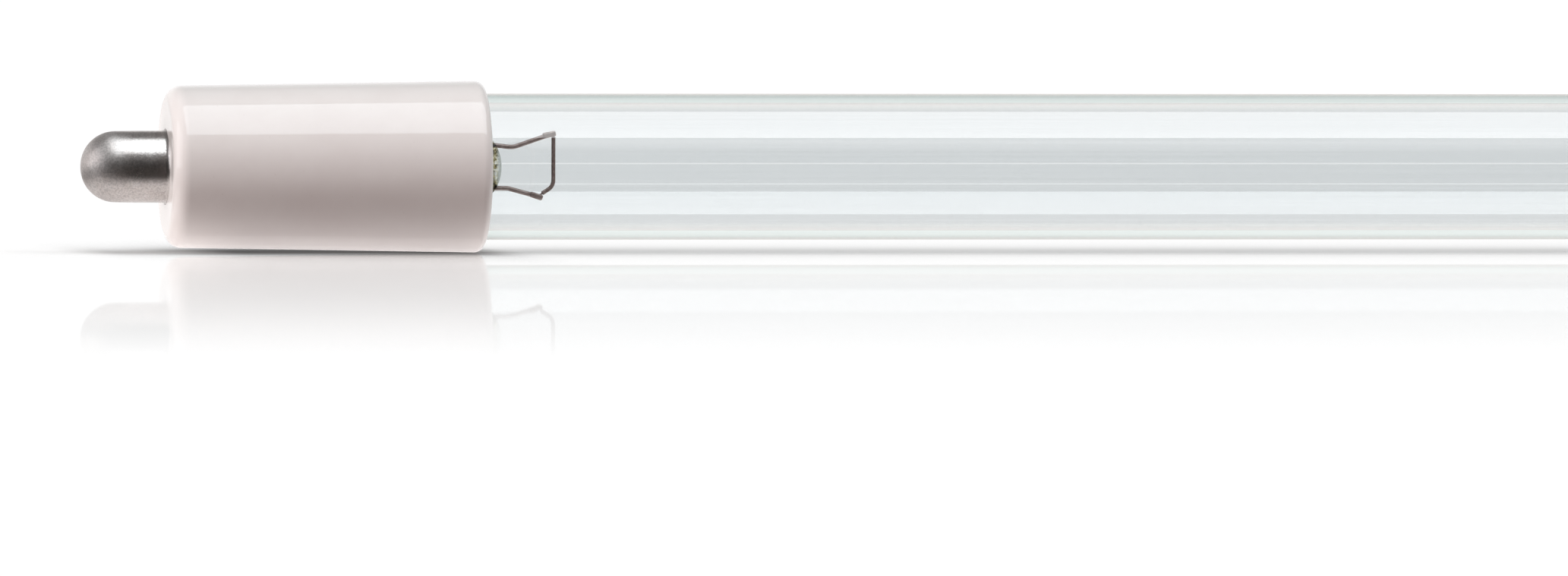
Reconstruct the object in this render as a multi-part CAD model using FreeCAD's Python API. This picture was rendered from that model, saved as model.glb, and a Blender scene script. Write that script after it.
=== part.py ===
# A straight germicidal lamp tube with one contact pin on each end.
# A clear glass tube is closed at both ends by a glass stem. Each stem carries a coiled cathode on two
# wires, and sits in a glazed ceramic cap that holds the domed contact pin.
# Millimetres. The lamp lies along X with its middle at the origin, and +Z is up.

import FreeCAD, Part
import math
import os

Vector = FreeCAD.Vector

# Whole lamp
LAMP_LENGTH = 357.0  # from the tip of one pin to the tip of the other
TUBE_OD = 16.0
TUBE_WALL = 1.0
TUBE_SHOULDER = 2.5  # outside radius of the rolled in end of the tube

# Ceramic cap
CAP_LENGTH = 35.0
CAP_END_WALL = 0.7  # beyond the bore for the glass, at the closed end before its edge is rounded
CAP_DRAFT = 0.9  # degrees, so the cap widens towards its open end
CAP_END_ROUND = 1.75
CAP_RIM_ROUND = 1.0
CAP_LIP_ROUND = 0.15
CAP_FLOOR = 4.0  # thickness of the closed end
CAP_FLANGE_CLEAR = 0.7  # round the pin's flange, in the hollow behind the floor
CAP_TUBE_CLEAR = 0.15  # between the cap's bore and the glass
TUBE_SEAT = 11.5  # from the closed face of the cap to the end of the glass

# Contact pin, a drawn thimble with a flange behind the cap's floor
PIN_OD = 7.92
PIN_STANDOUT = 9.3
PIN_WALL = 0.45
PIN_TIP_FLAT = 0.1  # radius of the small flat that drawing leaves on the dome
PIN_SEAT_OD = 8.24  # slight swell where the pin enters the cap
PIN_SWELL = 0.6  # length over which the pin grows to its seat
PIN_HOLE_CLEAR = 0.04
PIN_FLANGE_WIDTH = 1.48  # beyond the seat
PIN_FLANGE_ROUND = 0.2
SOLDER_DEPTH = 3.6  # solder inside the dome, over the ends of the wires

# Cement ring between the cap and the end of the tube
CEMENT_END = 1.0  # behind the end of the tube
CEMENT_SKIRT = 8.0  # along the outside of the tube
CEMENT_MOUTH = 1.0  # the cement's hole is this much wider than the flare, all round

# Glass stem, with its flare, neck and flattened press
FLARE_LIP = 0.2  # flat glass between the rolled in tube and the flare
FLARE_CURVE = 1.6
STEM_OD = 6.8
STEM_WALL = 0.7
NECK_FLOOR_ROUND = 0.5
PRESS_PROUD = 1.9  # top of the press beyond the rim of the cap
PRESS_CROWN = 1.2  # how far the middle of the top stands above its corners
PRESS_WIDTH = 6.4
PRESS_THICK = 2.4
PRESS_LENGTH = 7.4
PRESS_TAPER = 3.5  # where the round neck turns into the flat press
NECK_FLOOR = 0.6  # solid glass between the hollow neck and the taper
EXHAUST_OD = 3.0
EXHAUST_BORE = 1.5
EXHAUST_OUT = 4.5  # sealed tip beyond the end of the tube
EXHAUST_TIP_ROUND = 1.2
EXHAUST_PORT_UP = 2.2  # height of the side hole above the hollow's floor
PELLET_D = 1.4
PELLET_CLEAR = 0.05

# Wires through the stem
LEAD_SPACING = 4.7
LEAD_D = 0.5
LEAD_IN_GLASS = 2.4  # the inner wire's root below the top of the press
SEAL_WIRE_D = 0.3
SEAL_WIRE_LENGTH = 3.6
OUTER_WIRE_D = 0.4
OUTER_WIRE_BEND = 8.0
OUTER_WIRE_SPACING = 2.4  # where they end in the solder
OUTER_WIRE_IN_SOLDER = 1.5

# Electrode, measured from the top of the press along the lamp, and from the axis up
LEAD_BEND = 2.0
UPPER_BEND_AT = -0.6
UPPER_DIP_AT = 1.4
UPPER_DIP = 0.23
UPPER_CLAMP_AT = 5.41
UPPER_CLAMP_RISE = 1.15
UPPER_CLAMP_TILT = 12.0
LOWER_BEND_AT = 0.8
LOWER_CLAMP_AT = 3.98
LOWER_CLAMP_DROP = 0.86
LOWER_CLAMP_TILT = -18.0
CLAMP_LENGTH = 1.45
CLAMP_THICK = 0.62
CLAMP_WIDTH = 0.9
CLAMP_ROUND = 0.2

# Coiled cathode
CATHODE_AT = 5.88
CATHODE_CORNER_RISE = 1.08  # its bend above the lower clamp
CATHODE_BEND = 1.2
CATHODE_FOOT_AT = 4.45
COIL_OD = 0.48
COIL_WIRE_D = 0.18
COIL_PITCH = 0.215
COIL_TAIL = 0.4  # straight wire held by each clamp
COIL_CLAMP_CLEAR = 0.1
COIL_HOLE_CLEAR = 0.01
COIL_STEPS = 10  # rings for each turn
COIL_SIDES = 6

# Sizes that follow
SIDE = Vector(0, 1, 0)
UP = Vector(0, 0, 1)
ALONG = Vector(1, 0, 0)
ORIGIN = Vector(0, 0, 0)
TINY = 1e-6

cap_face = PIN_STANDOUT - LAMP_LENGTH / 2  # closed face of the cap at the -X end
cap_rim = cap_face + CAP_LENGTH
tube_end = cap_face + TUBE_SEAT
cap_step = tube_end - CEMENT_END
press_top = cap_rim + PRESS_PROUD
press_foot = press_top - PRESS_LENGTH
taper_foot = press_foot - PRESS_TAPER
hollow_floor = taper_foot - NECK_FLOOR
exhaust_tip = tube_end - EXHAUST_OUT
cap_bore_r = TUBE_OD / 2 + CAP_TUBE_CLEAR
cap_hole_r = PIN_SEAT_OD / 2 + PIN_HOLE_CLEAR
flare_r = TUBE_OD / 2 - TUBE_SHOULDER - FLARE_LIP
pin_tip = cap_face - PIN_STANDOUT
pin_inner_r = PIN_OD / 2 - PIN_WALL
pin_inner_tip = pin_tip + PIN_WALL
flange_r = PIN_SEAT_OD / 2 + PIN_FLANGE_WIDTH
cap_chamber_r = flange_r + CAP_FLANGE_CLEAR
cement_hole_r = flare_r + CEMENT_MOUTH
flange_back = cap_face + CAP_FLOOR + PIN_WALL
solder_face = pin_inner_tip + SOLDER_DEPTH
lead_root = press_top - LEAD_IN_GLASS
seal_root = lead_root - SEAL_WIRE_LENGTH
lead_height = LEAD_SPACING / 2
upper_clamp = Vector(press_top + UPPER_CLAMP_AT, 0, lead_height + UPPER_CLAMP_RISE)
lower_clamp = Vector(press_top + LOWER_CLAMP_AT, 0, -lead_height - LOWER_CLAMP_DROP)
cathode_x = press_top + CATHODE_AT


def at(x, z):
    """A point in the lamp's upright middle plane"""
    return Vector(x, 0, z)


def rounded_wire(corners, closed):
    """Straight runs joined by tangent arcs. Each corner is a point and the radius of its arc"""
    last = len(corners) - 1
    stops = []
    for i, (point, radius) in enumerate(corners):
        if radius == 0 or (not closed and i in (0, last)):
            stops.append((point, None, point))
            continue
        back = (corners[i - 1][0] - point).normalize()
        ahead = (corners[(i + 1) % len(corners)][0] - point).normalize()
        half = back.getAngle(ahead) / 2
        reach = radius / math.tan(half)
        middle = point + (back + ahead).normalize() * (radius / math.sin(half) - radius)
        stops.append((point + back * reach, middle, point + ahead * reach))
    edges = []
    for i, (start, middle, finish) in enumerate(stops):
        came_from = stops[i - 1][2]
        if (closed or i > 0) and came_from.distanceToPoint(start) > TINY:
            edges.append(Part.LineSegment(came_from, start).toShape())
        if middle is not None:
            edges.append(Part.Arc(start, middle, finish).toShape())
    return Part.Wire(edges)


def turned(corners):
    """A solid of revolution about the lamp's axis. Each corner is x, radius and rounding"""
    outline = rounded_wire([(at(x, r), rounding) for x, r, rounding in corners], closed=True)
    return Part.Face(outline).revolve(ORIGIN, ALONG, 360)


def round_wire_along(corners, diameter):
    """A drawn wire that follows straight runs and bends"""
    route = rounded_wire(corners, closed=False)
    start = corners[0][0]
    heading = corners[1][0] - start
    section = Part.Wire(Part.Circle(start, heading, diameter / 2).toShape())
    return route.makePipe(Part.Face(section))


def rod(start, finish, diameter):
    """A straight round rod between two points"""
    return Part.makeCylinder(diameter / 2, start.distanceToPoint(finish), start, finish - start)


def cap_radius(x):
    """Outside radius of the drafted cap at a place along the lamp"""
    return cap_bore_r + CAP_END_WALL + (x - cap_face) * math.tan(math.radians(CAP_DRAFT))


def rolled_cylinder(end, radius, shoulder):
    """A solid cylinder as long as the tube, with its two ends rolled in"""
    return turned([
        (end, 0, 0),
        (end, radius, shoulder),
        (-end, radius, shoulder),
        (-end, 0, 0),
    ])


def tube_outside():
    """The space that the glass tube fills, hollow included"""
    return rolled_cylinder(tube_end, TUBE_OD / 2, TUBE_SHOULDER)


def glass_tube():
    """The clear envelope, with both ends rolled in to meet the flares"""
    inside = rolled_cylinder(tube_end + TUBE_WALL, TUBE_OD / 2 - TUBE_WALL, TUBE_SHOULDER - TUBE_WALL)
    mouths = rod(at(tube_end, 0), at(-tube_end, 0), 2 * flare_r)
    return tube_outside().cut([inside, mouths])


def ceramic_cap():
    """A pressed cup with draft, a hole for the pin and a stepped bore for the glass"""
    floor = cap_face + CAP_FLOOR
    return turned([
        (cap_face, cap_hole_r, 0),
        (cap_face, cap_radius(cap_face), CAP_END_ROUND),
        (cap_rim, cap_radius(cap_rim), CAP_RIM_ROUND),
        (cap_rim, cap_bore_r, CAP_LIP_ROUND),
        (cap_step, cap_bore_r, 0),
        (cap_step, cap_chamber_r, 0),
        (floor, cap_chamber_r, 0),
        (floor, cap_hole_r, 0),
    ])


def contact_pin():
    """A thimble drawn from sheet, with a domed tip and a flange that bears on the cap's floor"""
    outer = PIN_OD / 2
    floor = cap_face + CAP_FLOOR
    return turned([
        (pin_tip, 0, 0),
        (pin_tip, outer, outer - PIN_TIP_FLAT),
        (cap_face - PIN_SWELL, outer, 0),
        (cap_face, PIN_SEAT_OD / 2, 0),
        (floor, PIN_SEAT_OD / 2, 0),
        (floor, flange_r, 0),
        (flange_back, flange_r, PIN_FLANGE_ROUND),
        (flange_back, pin_inner_r, PIN_WALL),
        (pin_inner_tip, pin_inner_r, pin_inner_r - PIN_TIP_FLAT),
        (pin_inner_tip, 0, 0),
    ])


def pin_solder(wires):
    """The solder that fills the dome and joins both outer wires to the pin"""
    plug = turned([
        (pin_inner_tip, 0, 0),
        (pin_inner_tip, pin_inner_r, pin_inner_r - PIN_TIP_FLAT),
        (solder_face, pin_inner_r, 0),
        (solder_face, 0, 0),
    ])
    return plug.cut(wires)


def basing_cement():
    """The ring of cement that holds the glass in the cap"""
    skirt_end = tube_end + CEMENT_SKIRT
    ring = turned([
        (cap_step, cement_hole_r, 0),
        (cap_step, cap_bore_r, 0),
        (skirt_end, cap_bore_r, 0),
        (skirt_end, cement_hole_r, 0),
    ])
    return ring.cut(tube_outside())


def oval_section(x, width, thick):
    """A closed section across the lamp: round when both sizes are the same, else flat sided"""
    straight = (width - thick) / 2
    round_r = thick / 2
    if straight < TINY:
        corner_y = round_r * math.sqrt(0.5)
        corner_z = corner_y
    else:
        corner_y = round_r
        corner_z = straight
    high = [Vector(x, -corner_y, corner_z), Vector(x, 0, width / 2), Vector(x, corner_y, corner_z)]
    low = [Vector(x, corner_y, -corner_z), Vector(x, 0, -width / 2), Vector(x, -corner_y, -corner_z)]
    edges = [Part.Arc(*high).toShape()]
    for begin, end, side in ((high[2], low[0], round_r), (low[2], high[0], -round_r)):
        if straight < TINY:
            edges.append(Part.Arc(begin, Vector(x, side, 0), end).toShape())
        else:
            edges.append(Part.LineSegment(begin, end).toShape())
    edges.insert(2, Part.Arc(*low).toShape())
    return Part.Wire(edges)


def stem_press():
    """The flattened top of the stem, with a crowned end"""
    shoulder = press_top - PRESS_CROWN
    half = PRESS_WIDTH / 2
    blank = Part.Face(oval_section(press_foot, PRESS_WIDTH, PRESS_THICK)).extrude(
        ALONG * PRESS_LENGTH
    )
    outline = Part.Wire([
        Part.LineSegment(at(press_foot, half), at(shoulder, half)).toShape(),
        Part.Arc(at(shoulder, half), at(press_top, 0), at(shoulder, -half)).toShape(),
        Part.LineSegment(at(shoulder, -half), at(press_foot, -half)).toShape(),
        Part.LineSegment(at(press_foot, -half), at(press_foot, half)).toShape(),
    ])
    crown = Part.Face(outline).extrude(SIDE * PRESS_THICK)
    crown.translate(SIDE * (-PRESS_THICK / 2))
    return blank.common(crown)


def glass_stem(wires):
    """Flare, hollow neck and press in one piece of glass, fused round its wires"""
    mouth_curve = FLARE_CURVE + STEM_WALL
    neck = turned([
        (tube_end, flare_r, 0),
        (tube_end + TUBE_WALL, flare_r, 0),
        (tube_end + TUBE_WALL, STEM_OD / 2, FLARE_CURVE),
        (taper_foot, STEM_OD / 2, 0),
        (taper_foot, 0, 0),
        (hollow_floor, 0, 0),
        (hollow_floor, STEM_OD / 2 - STEM_WALL, NECK_FLOOR_ROUND),
        (tube_end, STEM_OD / 2 - STEM_WALL, mouth_curve),
    ])
    taper = Part.makeLoft(
        [
            oval_section(taper_foot, STEM_OD, STEM_OD),
            oval_section(press_foot, PRESS_WIDTH, PRESS_THICK),
        ],
        True,
        True,
    )
    port = hollow_floor + EXHAUST_PORT_UP
    bore = rod(at(hollow_floor, 0), at(port, 0), EXHAUST_BORE)
    side_hole = rod(at(port, 0), at(port, 0) - SIDE * STEM_OD, EXHAUST_BORE)
    stem = neck.fuse(taper).fuse(stem_press())
    return stem.cut(bore.fuse(side_hole)).cut(wires)


def exhaust_tube():
    """The thin tube that the lamp was pumped through, drawn off and sealed at its tip"""
    outer = EXHAUST_OD / 2
    bore = EXHAUST_BORE / 2
    sealed = exhaust_tip + EXHAUST_TIP_ROUND
    return turned([
        (exhaust_tip, 0, 0),
        (exhaust_tip, outer, EXHAUST_TIP_ROUND),
        (hollow_floor, outer, 0),
        (hollow_floor, bore, 0),
        (sealed, bore, 0),
        (sealed, 0, 0),
    ])


def mercury_pellet():
    """The metal pellet that doses the lamp, lying at the sealed tip of the exhaust tube"""
    radius = PELLET_D / 2
    return Part.makeSphere(radius, at(exhaust_tip + EXHAUST_TIP_ROUND + PELLET_CLEAR + radius, 0))


def seal_wire(side):
    """The thin wire that the press is sealed round, on the upper (1) or lower (-1) side"""
    height = side * lead_height
    return rod(at(seal_root, height), at(lead_root, height), SEAL_WIRE_D)


def outer_wire(side):
    """The wire from the press through the neck and the cap into the solder"""
    height = side * lead_height
    solder_height = side * OUTER_WIRE_SPACING / 2
    return round_wire_along([
        (at(seal_root, height), 0),
        (at(exhaust_tip, height), OUTER_WIRE_BEND),
        (at(cap_face, solder_height), OUTER_WIRE_BEND),
        (at(solder_face - OUTER_WIRE_IN_SOLDER, solder_height), 0),
    ], OUTER_WIRE_D)


def clamp_pad(centre, tilt):
    """The flattened end of an inner wire, folded over the tail of the cathode"""
    pad = Part.makeBox(CLAMP_LENGTH, CLAMP_WIDTH, CLAMP_THICK)
    pad = pad.makeFillet(CLAMP_ROUND, pad.Edges)
    pad.translate(Vector(-CLAMP_LENGTH / 2, -CLAMP_WIDTH / 2, -CLAMP_THICK / 2))
    pad.rotate(ORIGIN, SIDE, -tilt)
    pad.translate(centre)
    return pad


def cathode_axis():
    """The centre line of the coil: down from the upper clamp, then back to the lower one"""
    top_gap = CLAMP_THICK / 2 / math.cos(math.radians(UPPER_CLAMP_TILT)) + COIL_CLAMP_CLEAR
    lean = (cathode_x - upper_clamp.x) * math.tan(math.radians(UPPER_CLAMP_TILT))
    top = at(cathode_x, upper_clamp.z + lean - top_gap)
    corner = at(cathode_x, lower_clamp.z + CATHODE_CORNER_RISE)
    foot_x = press_top + CATHODE_FOOT_AT
    slope = math.tan(math.radians(LOWER_CLAMP_TILT))
    foot_z = lower_clamp.z + (foot_x - lower_clamp.x) * slope + CLAMP_THICK / 2
    leg = (at(foot_x, foot_z) - corner).normalize()
    foot = at(foot_x, foot_z) - leg * (2 * COIL_CLAMP_CLEAR)
    return rounded_wire([(top, 0), (corner, CATHODE_BEND), (foot, 0)], closed=False)


def cathode_ends():
    """Where the coil starts and stops, with the heading of the tail at each end"""
    spine = cathode_axis().discretize(Number=50)
    first = (spine[0] - spine[1]).normalize()
    last = (spine[-1] - spine[-2]).normalize()
    return (spine[0], first), (spine[-1], last)


def inner_lead(corners, pad, tail):
    """A nickel wire that rises from the press and clamps one end of the cathode"""
    start, heading = tail
    hole_d = COIL_WIRE_D + 2 * COIL_HOLE_CLEAR
    hole = rod(start, start + heading * (COIL_TAIL + COIL_HOLE_CLEAR), hole_d)
    return round_wire_along(corners, LEAD_D).fuse(pad).removeSplitter().cut(hole)


def upper_lead(tail):
    """The upper wire dips as it leaves the glass, then rises to its clamp"""
    dip = at(press_top + UPPER_DIP_AT, lead_height - UPPER_DIP)
    return inner_lead([
        (at(lead_root, lead_height), 0),
        (at(press_top + UPPER_BEND_AT, lead_height), LEAD_BEND),
        (dip, LEAD_BEND),
        (upper_clamp, 0),
    ], clamp_pad(upper_clamp, UPPER_CLAMP_TILT), tail)


def lower_lead(tail):
    """The lower wire runs level out of the glass, then falls to its clamp"""
    return inner_lead([
        (at(lead_root, -lead_height), 0),
        (at(press_top + LOWER_BEND_AT, -lead_height), LEAD_BEND),
        (lower_clamp, 0),
    ], clamp_pad(lower_clamp, LOWER_CLAMP_TILT), tail)


def faceted_wire(path, radius, sides):
    """A fine wire as a closed skin of flat facets round a path of points"""
    last = len(path) - 1
    rings = []
    across = SIDE
    for i, point in enumerate(path):
        ahead = (path[min(i + 1, last)] - path[max(i - 1, 0)]).normalize()
        across = (across - ahead * across.dot(ahead)).normalize()
        other = ahead.cross(across)
        angles = [2 * math.pi * k / sides for k in range(sides)]
        rings.append([
            point + across * (radius * math.cos(a)) + other * (radius * math.sin(a)) for a in angles
        ])
    outlines = [rings[0], rings[-1]]
    for ring, following in zip(rings, rings[1:]):
        for k in range(sides):
            m = (k + 1) % sides
            outlines.append([ring[k], ring[m], following[m]])
            outlines.append([ring[k], following[m], following[k]])
    faces = [Part.Face(Part.makePolygon(outline + outline[:1])) for outline in outlines]
    return Part.Solid(Part.Shell(faces))


def coiled_cathode():
    """A close coil of fine wire round the bent centre line, with a straight tail at each end"""
    axis = cathode_axis()
    steps = round(axis.Length / COIL_PITCH * COIL_STEPS)
    spine = axis.discretize(Number=steps + 1)
    swing = (COIL_OD - COIL_WIRE_D) / 2
    path = []
    for i, point in enumerate(spine):
        ahead = (spine[min(i + 1, steps)] - spine[max(i - 1, 0)]).normalize()
        inward = ahead.cross(SIDE)
        turn = 2 * math.pi * i / COIL_STEPS
        reach = swing * min(1, 2 * min(i, steps - i) / COIL_STEPS)
        path.append(point + inward * (reach * math.cos(turn)) + SIDE * (reach * math.sin(turn)))
    (top, up_tail), (foot, down_tail) = cathode_ends()
    path.insert(0, top + up_tail * COIL_TAIL)
    path.append(foot + down_tail * COIL_TAIL)
    return faceted_wire(path, COIL_WIRE_D / 2, COIL_SIDES)


def lamp_end():
    """Every piece of the -X end, by name"""
    top_tail, foot_tail = cathode_ends()
    pieces = {
        "upper_lead": upper_lead(top_tail),
        "lower_lead": lower_lead(foot_tail),
        "upper_seal_wire": seal_wire(1),
        "lower_seal_wire": seal_wire(-1),
        "upper_outer_wire": outer_wire(1),
        "lower_outer_wire": outer_wire(-1),
    }
    wires = Part.makeCompound(list(pieces.values()))
    pieces["cathode_coil"] = coiled_cathode()
    pieces["glass_stem"] = glass_stem(wires)
    pieces["exhaust_tube"] = exhaust_tube()
    pieces["basing_cement"] = basing_cement()
    pieces["contact_pin"] = contact_pin()
    pieces["pin_solder"] = pin_solder(wires)
    pieces["ceramic_cap"] = ceramic_cap()
    return pieces


def save(name, shape):
    """Write one piece and say what it is"""
    shape.exportStep("parts/" + name + ".step")
    print(f"{name:26s} {shape.Volume:10.3f} mm3  valid {shape.isValid()}  solids {len(shape.Solids)}")


os.makedirs("parts", exist_ok=True)
save("glass_tube", glass_tube())
for piece, shape in lamp_end().items():
    save("left_" + piece, shape)
    save("right_" + piece, shape.rotated(ORIGIN, UP, 180))
save("mercury_pellet", mercury_pellet().rotated(ORIGIN, UP, 180))
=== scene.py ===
# %% [markdown]
# # A germicidal lamp tube, dressed for its picture
#
# The lamp is a straight tube of clear glass with a glazed ceramic cap and one domed contact
# pin at each end. Behind each cap's rim the glass stem holds two bent wires, and they hold
# a coiled cathode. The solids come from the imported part. This script gives each of them its
# finish, builds the tube, the pins and the cathodes again with finer curves, and lights them.

from math import acos, cos, pi, radians, sin, tan

import bmesh
import bpy
from mathutils import Matrix, Vector


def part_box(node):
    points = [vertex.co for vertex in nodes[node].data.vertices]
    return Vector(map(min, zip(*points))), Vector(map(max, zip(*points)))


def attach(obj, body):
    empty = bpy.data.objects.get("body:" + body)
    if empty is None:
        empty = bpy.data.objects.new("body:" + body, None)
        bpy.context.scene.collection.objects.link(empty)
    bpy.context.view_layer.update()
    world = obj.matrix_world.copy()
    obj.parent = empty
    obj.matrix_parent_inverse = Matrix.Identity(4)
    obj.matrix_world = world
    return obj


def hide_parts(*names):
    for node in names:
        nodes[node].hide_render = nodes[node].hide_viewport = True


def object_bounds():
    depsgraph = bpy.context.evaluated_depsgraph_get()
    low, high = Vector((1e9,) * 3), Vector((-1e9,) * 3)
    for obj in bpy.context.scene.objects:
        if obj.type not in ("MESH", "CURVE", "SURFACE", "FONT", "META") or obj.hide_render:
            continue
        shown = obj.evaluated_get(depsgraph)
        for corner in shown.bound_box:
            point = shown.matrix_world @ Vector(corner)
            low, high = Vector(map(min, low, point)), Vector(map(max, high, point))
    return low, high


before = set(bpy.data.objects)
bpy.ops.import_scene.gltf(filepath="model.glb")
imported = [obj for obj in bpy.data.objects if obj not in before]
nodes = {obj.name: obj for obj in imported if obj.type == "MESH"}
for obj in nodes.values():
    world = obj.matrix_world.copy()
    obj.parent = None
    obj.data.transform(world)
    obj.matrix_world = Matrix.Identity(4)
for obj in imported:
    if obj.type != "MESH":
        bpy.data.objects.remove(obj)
cad_low, cad_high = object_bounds()
scene = bpy.context.scene
MM = 0.001
print("nodes of the part:", sorted(nodes))
print("the part's box in mm:", [round(v / MM, 2) for v in (*cad_low, *cad_high)])

# %% [markdown]
# A colour is easiest to pick as a hex value, as a paint program shows it. The shaders want
# the linear amount of light instead, so one function turns the first into the second.

# %% Colours
def colour(hex_value):
    """A hex colour as the linear red, green, blue and alpha that a shader takes"""
    parts = [int(hex_value[i:i + 2], 16) / 255 for i in (1, 3, 5)]
    linear = [c / 12.92 if c <= 0.04045 else ((c + 0.055) / 1.055) ** 2.4 for c in parts]
    return (*linear, 1.0)


print("a mid grey of #808080 is", round(colour("#808080")[0], 3), "in linear light")

# %% [markdown]
# Every material below is a small web of nodes. One helper adds a node, sets what is fixed
# and links what comes from another node. All the materials start in the same way, too.

# %% Nodes and materials
def add(tree, kind, inputs=(), **settings):
    """Adds a node. An input is a value to set, or another node's output to link"""
    made = tree.nodes.new(kind)
    for name, value in settings.items():
        setattr(made, name, value)
    for name, value in dict(inputs).items():
        if isinstance(value, bpy.types.NodeSocket):
            tree.links.new(value, made.inputs[name])
        else:
            made.inputs[name].default_value = value
    return made


def new_material(name):
    """An empty material and its tree"""
    material = bpy.data.materials.new(name)
    material.use_nodes = True
    material.node_tree.nodes.clear()
    return material, material.node_tree


def surface(tree, shader):
    """Ends the material with that shader"""
    add(tree, "ShaderNodeOutputMaterial", {"Surface": shader})


def per_mm(size):
    """The scale that gives a pattern features of that size in millimetres"""
    return 1 / (size * MM)


print("a pattern with features of 2 mm has a scale of", per_mm(2))

# %% [markdown]
# ## Camera
#
# The photograph shows the lamp's left end almost square from the side, with the camera a
# little to the left of it, so that the cap's end face is just in sight. All edges along the
# tube stay parallel in the picture, which says that the lens was long. A 600 mm lens on a
# 36 mm sensor keeps them parallel, and still gives a true perspective. The camera is rolled
# until the lamp lies level: the plane through the lens and the lamp's axis says which way
# the picture's right has to point.

# %% Camera
LENS = 600
PICTURE_WIDTH = 171.8 * MM
AZIMUTH = radians(-8.4)
ELEVATION = radians(1.2)
AIM = Vector((-100.88, 0, -13.30)) * MM

towards_camera = Vector((
    sin(AZIMUTH) * cos(ELEVATION),
    -cos(AZIMUTH) * cos(ELEVATION),
    sin(ELEVATION),
))
distance = PICTURE_WIDTH * LENS / 36
lens_data = bpy.data.cameras.new("long_lens")
lens_data.lens = LENS
lens_data.sensor_width = 36
lens_data.clip_start = 0.05
lens_data.clip_end = 100
camera = bpy.data.objects.new("long_lens", lens_data)
stand = AIM + distance * towards_camera
lamp_plane = Vector((1, 0, 0)).cross(stand)
right = towards_camera.cross(lamp_plane).normalized()
above = towards_camera.cross(right)
turned = Matrix((right, above, towards_camera)).transposed()
camera.matrix_world = Matrix.Translation(stand) @ turned.to_4x4()
scene.collection.objects.link(camera)
scene.camera = camera
scene.view_settings.view_transform = "Standard"
print("the camera stands", round(distance, 3), "m from the lamp")

# %% [markdown]
# ## Room
#
# The lamp lies in a white sweep. Seen by the camera and through glass, the room is plain
# white. In mirrors it is white low down behind the lamp, where the sweep stands, and dim
# elsewhere, because a real room is. That difference is what gives metal its dark bands. The
# heights are parts of a sphere round the lamp, from 0 at the horizon to 1 straight up.

# %% Room
SWEEP_WHITE_TO, SWEEP_ENDS_AT = 0.3, 0.6
ROOM_DIM_TO, ROOM_PALE_FROM = 0.25, 0.5
ROOM_DIM, ROOM_PALE, ROOM_AS_LIGHT = 0.05, 0.22, 0.06

room = bpy.data.worlds.new("white_sweep_room")
scene.world = room
room.use_nodes = True
tree = room.node_tree
tree.nodes.clear()
ray = add(tree, "ShaderNodeLightPath")
place = add(tree, "ShaderNodeTexCoord")
aim = add(tree, "ShaderNodeSeparateXYZ", {0: place.outputs["Generated"]})
behind = add(tree, "ShaderNodeMapRange", {
    "Value": aim.outputs["Y"], "From Min": -0.1, "From Max": 0.1,
})
low = add(tree, "ShaderNodeMapRange", {
    "Value": aim.outputs["Z"], "From Min": SWEEP_WHITE_TO, "From Max": SWEEP_ENDS_AT,
    "To Min": 1, "To Max": 0,
})
sweep = add(tree, "ShaderNodeMath", {
    0: behind.outputs[0], 1: low.outputs[0],
}, operation="MULTIPLY")
dim = add(tree, "ShaderNodeMapRange", {
    "Value": aim.outputs["Z"], "From Min": ROOM_DIM_TO, "From Max": ROOM_PALE_FROM,
    "To Min": ROOM_DIM, "To Max": ROOM_PALE,
})
mirrored = add(tree, "ShaderNodeMapRange", {
    "Value": sweep.outputs[0], "To Min": dim.outputs[0], "To Max": 1.0,
})
dim_or_mirrored = add(tree, "ShaderNodeMix", {
    "Factor": ray.outputs["Is Glossy Ray"], 2: ROOM_AS_LIGHT, 3: mirrored.outputs[0],
})
seen = add(tree, "ShaderNodeMath", {
    0: ray.outputs["Is Camera Ray"], 1: ray.outputs["Is Transmission Ray"],
}, operation="MAXIMUM")
strength = add(tree, "ShaderNodeMix", {
    "Factor": seen.outputs[0], 2: dim_or_mirrored.outputs[0], 3: 1.0,
})
light = add(tree, "ShaderNodeBackground", {
    "Color": colour("#FFFFFF"), "Strength": strength.outputs[0],
})
add(tree, "ShaderNodeOutputWorld", {"Surface": light.outputs[0]})
print("in mirrors the room is white up to", SWEEP_WHITE_TO, "and dim above", SWEEP_ENDS_AT)

# %% [markdown]
# ## Floor
#
# The floor is a sheet of polished white acrylic. A lamp of its own lights it evenly, to just
# the white of the room, so that it melts into the background. Its soft shadow is painted
# into its colour: the share of open sky above each spot, raised to a power, darkens the
# sheet. Clear glass hides less of the sky than a cap does, so the depth of this painted
# shadow is set by place along the lamp: deep beside the caps, weaker under the tube and the
# pins, and it fades away from the lamp.
#
# The polish mirrors the lamp only at a flat angle, as real acrylic does, and wears off
# towards the camera, so that the mirror image fades as it does in the photograph. In front
# of the lamp and beyond its ends the sheet's colour is painted dark for all rays but the
# camera's own. These painted dark cards stand for the black cards that photographers use to
# draw the dark band along metal: the lamp mirrors them and gets less light from that side.

# %% Floor
floor_z = cad_low.z
FLOOR_REACH = 3.0
SHEET_WHITE = 0.90
CARD_WHITE, CARD_DARK = -7 * MM, -15 * MM
END_CARD_FROM, END_CARD_FULL = 186 * MM, 200 * MM
END_CARD_REAR, END_CARD_GONE = 30 * MM, 80 * MM
SKY_REACH = 200 * MM
SHADE_POWER = 9.0
SHADE_TUBE, SHADE_CAP, SHADE_PIN, SHADE_TIP, SHADE_BEYOND = 0.35, 0.90, 0.50, 0.15, 0.05
SHADE_FROM, SHADE_TO = 120, 200
SHADE_FULL_TO, SHADE_WEAK_FROM, SHADE_WEAK = 25 * MM, 120 * MM, 0.2
SHADE_OFF_IN_MIRRORS = 0.45
POLISH_NEAR, POLISH_FULL_FROM, POLISH_FULL_TO, POLISH_FAR = -2 * MM, -26 * MM, -20 * MM, -500 * MM
POLISH_FULL = 0.62
FLAT_FROM, FLAT_FULL, FLAT_SHARE = 0.86, 0.97, 0.93

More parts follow.
